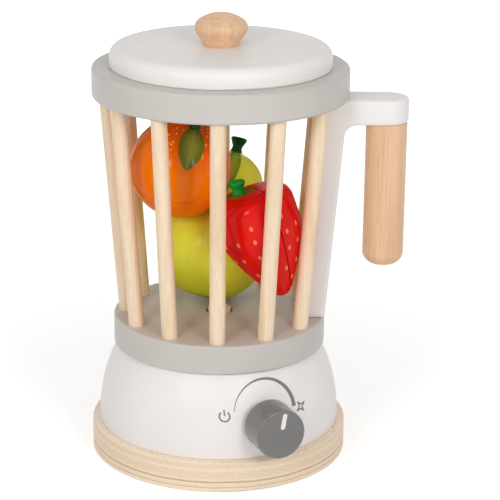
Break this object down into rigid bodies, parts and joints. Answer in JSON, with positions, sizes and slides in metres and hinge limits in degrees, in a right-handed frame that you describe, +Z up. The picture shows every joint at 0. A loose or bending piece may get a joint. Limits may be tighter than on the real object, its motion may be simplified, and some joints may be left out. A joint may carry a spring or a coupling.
{
  "type": "toy blender",
  "caption": "Wooden play blender: domed base with a turning control knob, lift-off jug caged by slanted rods, side handle, lift-off lid and play fruit in halves.",
  "frame": {"origin": "on the jug's axis, on the surface that the base plate stands on", "axes": "+Z up along the jug's axis, +X along the handle, the control knob faces the front at -Y"},
  "size_m": [0.1615, 0.1439, 0.2308],
  "materials": {
    "plywood": "clear-lacquered plywood, plies showing at the edge",
    "white_lacquer": "satin white lacquer on wood",
    "grey_lacquer": "satin warm grey lacquer on wood",
    "dark_grey_lacquer": "satin dark grey lacquer on wood",
    "rod_wood": "smooth pale wood rod",
    "beech": "clear-lacquered beech",
    "screw_steel": "plated steel",
    "orange_paint": "glossy orange lacquer on wood",
    "pear_paint": "glossy yellow-green lacquer on wood",
    "strawberry_paint": "glossy red lacquer on wood",
    "dark_green_paint": "glossy dark green lacquer on wood",
    "bright_green_paint": "glossy green lacquer on wood",
    "touch_fastener": "hook-and-loop fabric disc"
  },
  "bodies": {
    "base": {"base_plate": "plywood", "base_housing": "white_lacquer", "base_screws": "screw_steel"},
    "control": {"control_knob": "dark_grey_lacquer", "knob_pointer": "white_lacquer", "control_shaft": "rod_wood", "lift_cam": "beech", "cam_pin": "screw_steel"},
    "peg": {"lift_peg": "rod_wood", "peg_foot": "beech"},
    "jug": {"jug_floor": "grey_lacquer", "top_ring": "grey_lacquer", "handle_bracket": "white_lacquer", "bracket_dowels": "rod_wood", "handle_grip": "beech", "grip_dowel": "rod_wood", "rod_01": "rod_wood", "rod_02": "rod_wood", "rod_03": "rod_wood", "rod_04": "rod_wood", "rod_05": "rod_wood", "rod_06": "rod_wood", "rod_07": "rod_wood", "rod_08": "rod_wood", "rod_09": "rod_wood", "rod_10": "rod_wood", "rod_11": "rod_wood"},
    "lid": {"lid_disc": "white_lacquer", "lid_plug": "white_lacquer", "lid_knob": "beech", "lid_screw": "screw_steel"},
    "pear": {"pear_front_half": "pear_paint", "pear_back_half": "pear_paint", "pear_fasteners": "touch_fastener", "pear_stem": "dark_green_paint"},
    "strawberry": {"strawberry_large_half": "strawberry_paint", "strawberry_small_half": "strawberry_paint", "strawberry_fasteners": "touch_fastener", "strawberry_stem": "bright_green_paint"},
    "orange": {"orange_upper_half": "orange_paint", "orange_lower_half": "orange_paint", "orange_fasteners": "touch_fastener", "orange_stem": "dark_green_paint"}
  },
  "joints": [
    {"name": "control_turn", "type": "hinge", "parent": "base", "child": "control", "pos_m": [0, 0, 0.0344], "axis": [-0.4083, 0.9128, 0], "range_deg": [-90, 50]},
    {"name": "peg_lift", "type": "slide", "parent": "base", "child": "peg", "axis": [0, 0, 1], "range_m": [-0.00283, 0.00157]},
    {"name": "jug_lift", "type": "slide", "parent": "base", "child": "jug", "axis": [0, 0, 1], "range_m": [0, 0.06]},
    {"name": "lid_lift", "type": "slide", "parent": "jug", "child": "lid", "axis": [0, 0, 1], "range_m": [0, 0.06]},
    {"name": "pear_hop", "type": "slide", "parent": "jug", "child": "pear", "axis": [0, 0, 1], "range_m": [0, 0.006]},
    {"name": "strawberry_hop", "type": "slide", "parent": "pear", "child": "strawberry", "axis": [0, 0, 1], "range_m": [0, 0.003]},
    {"name": "orange_hop", "type": "slide", "parent": "strawberry", "child": "orange", "axis": [0, 0, 1], "range_m": [0, 0.003]}
  ],
  "couplings": [
    {"joint": "control_turn", "follows": "peg_lift", "rad_per_m": 555.56}
  ]
}
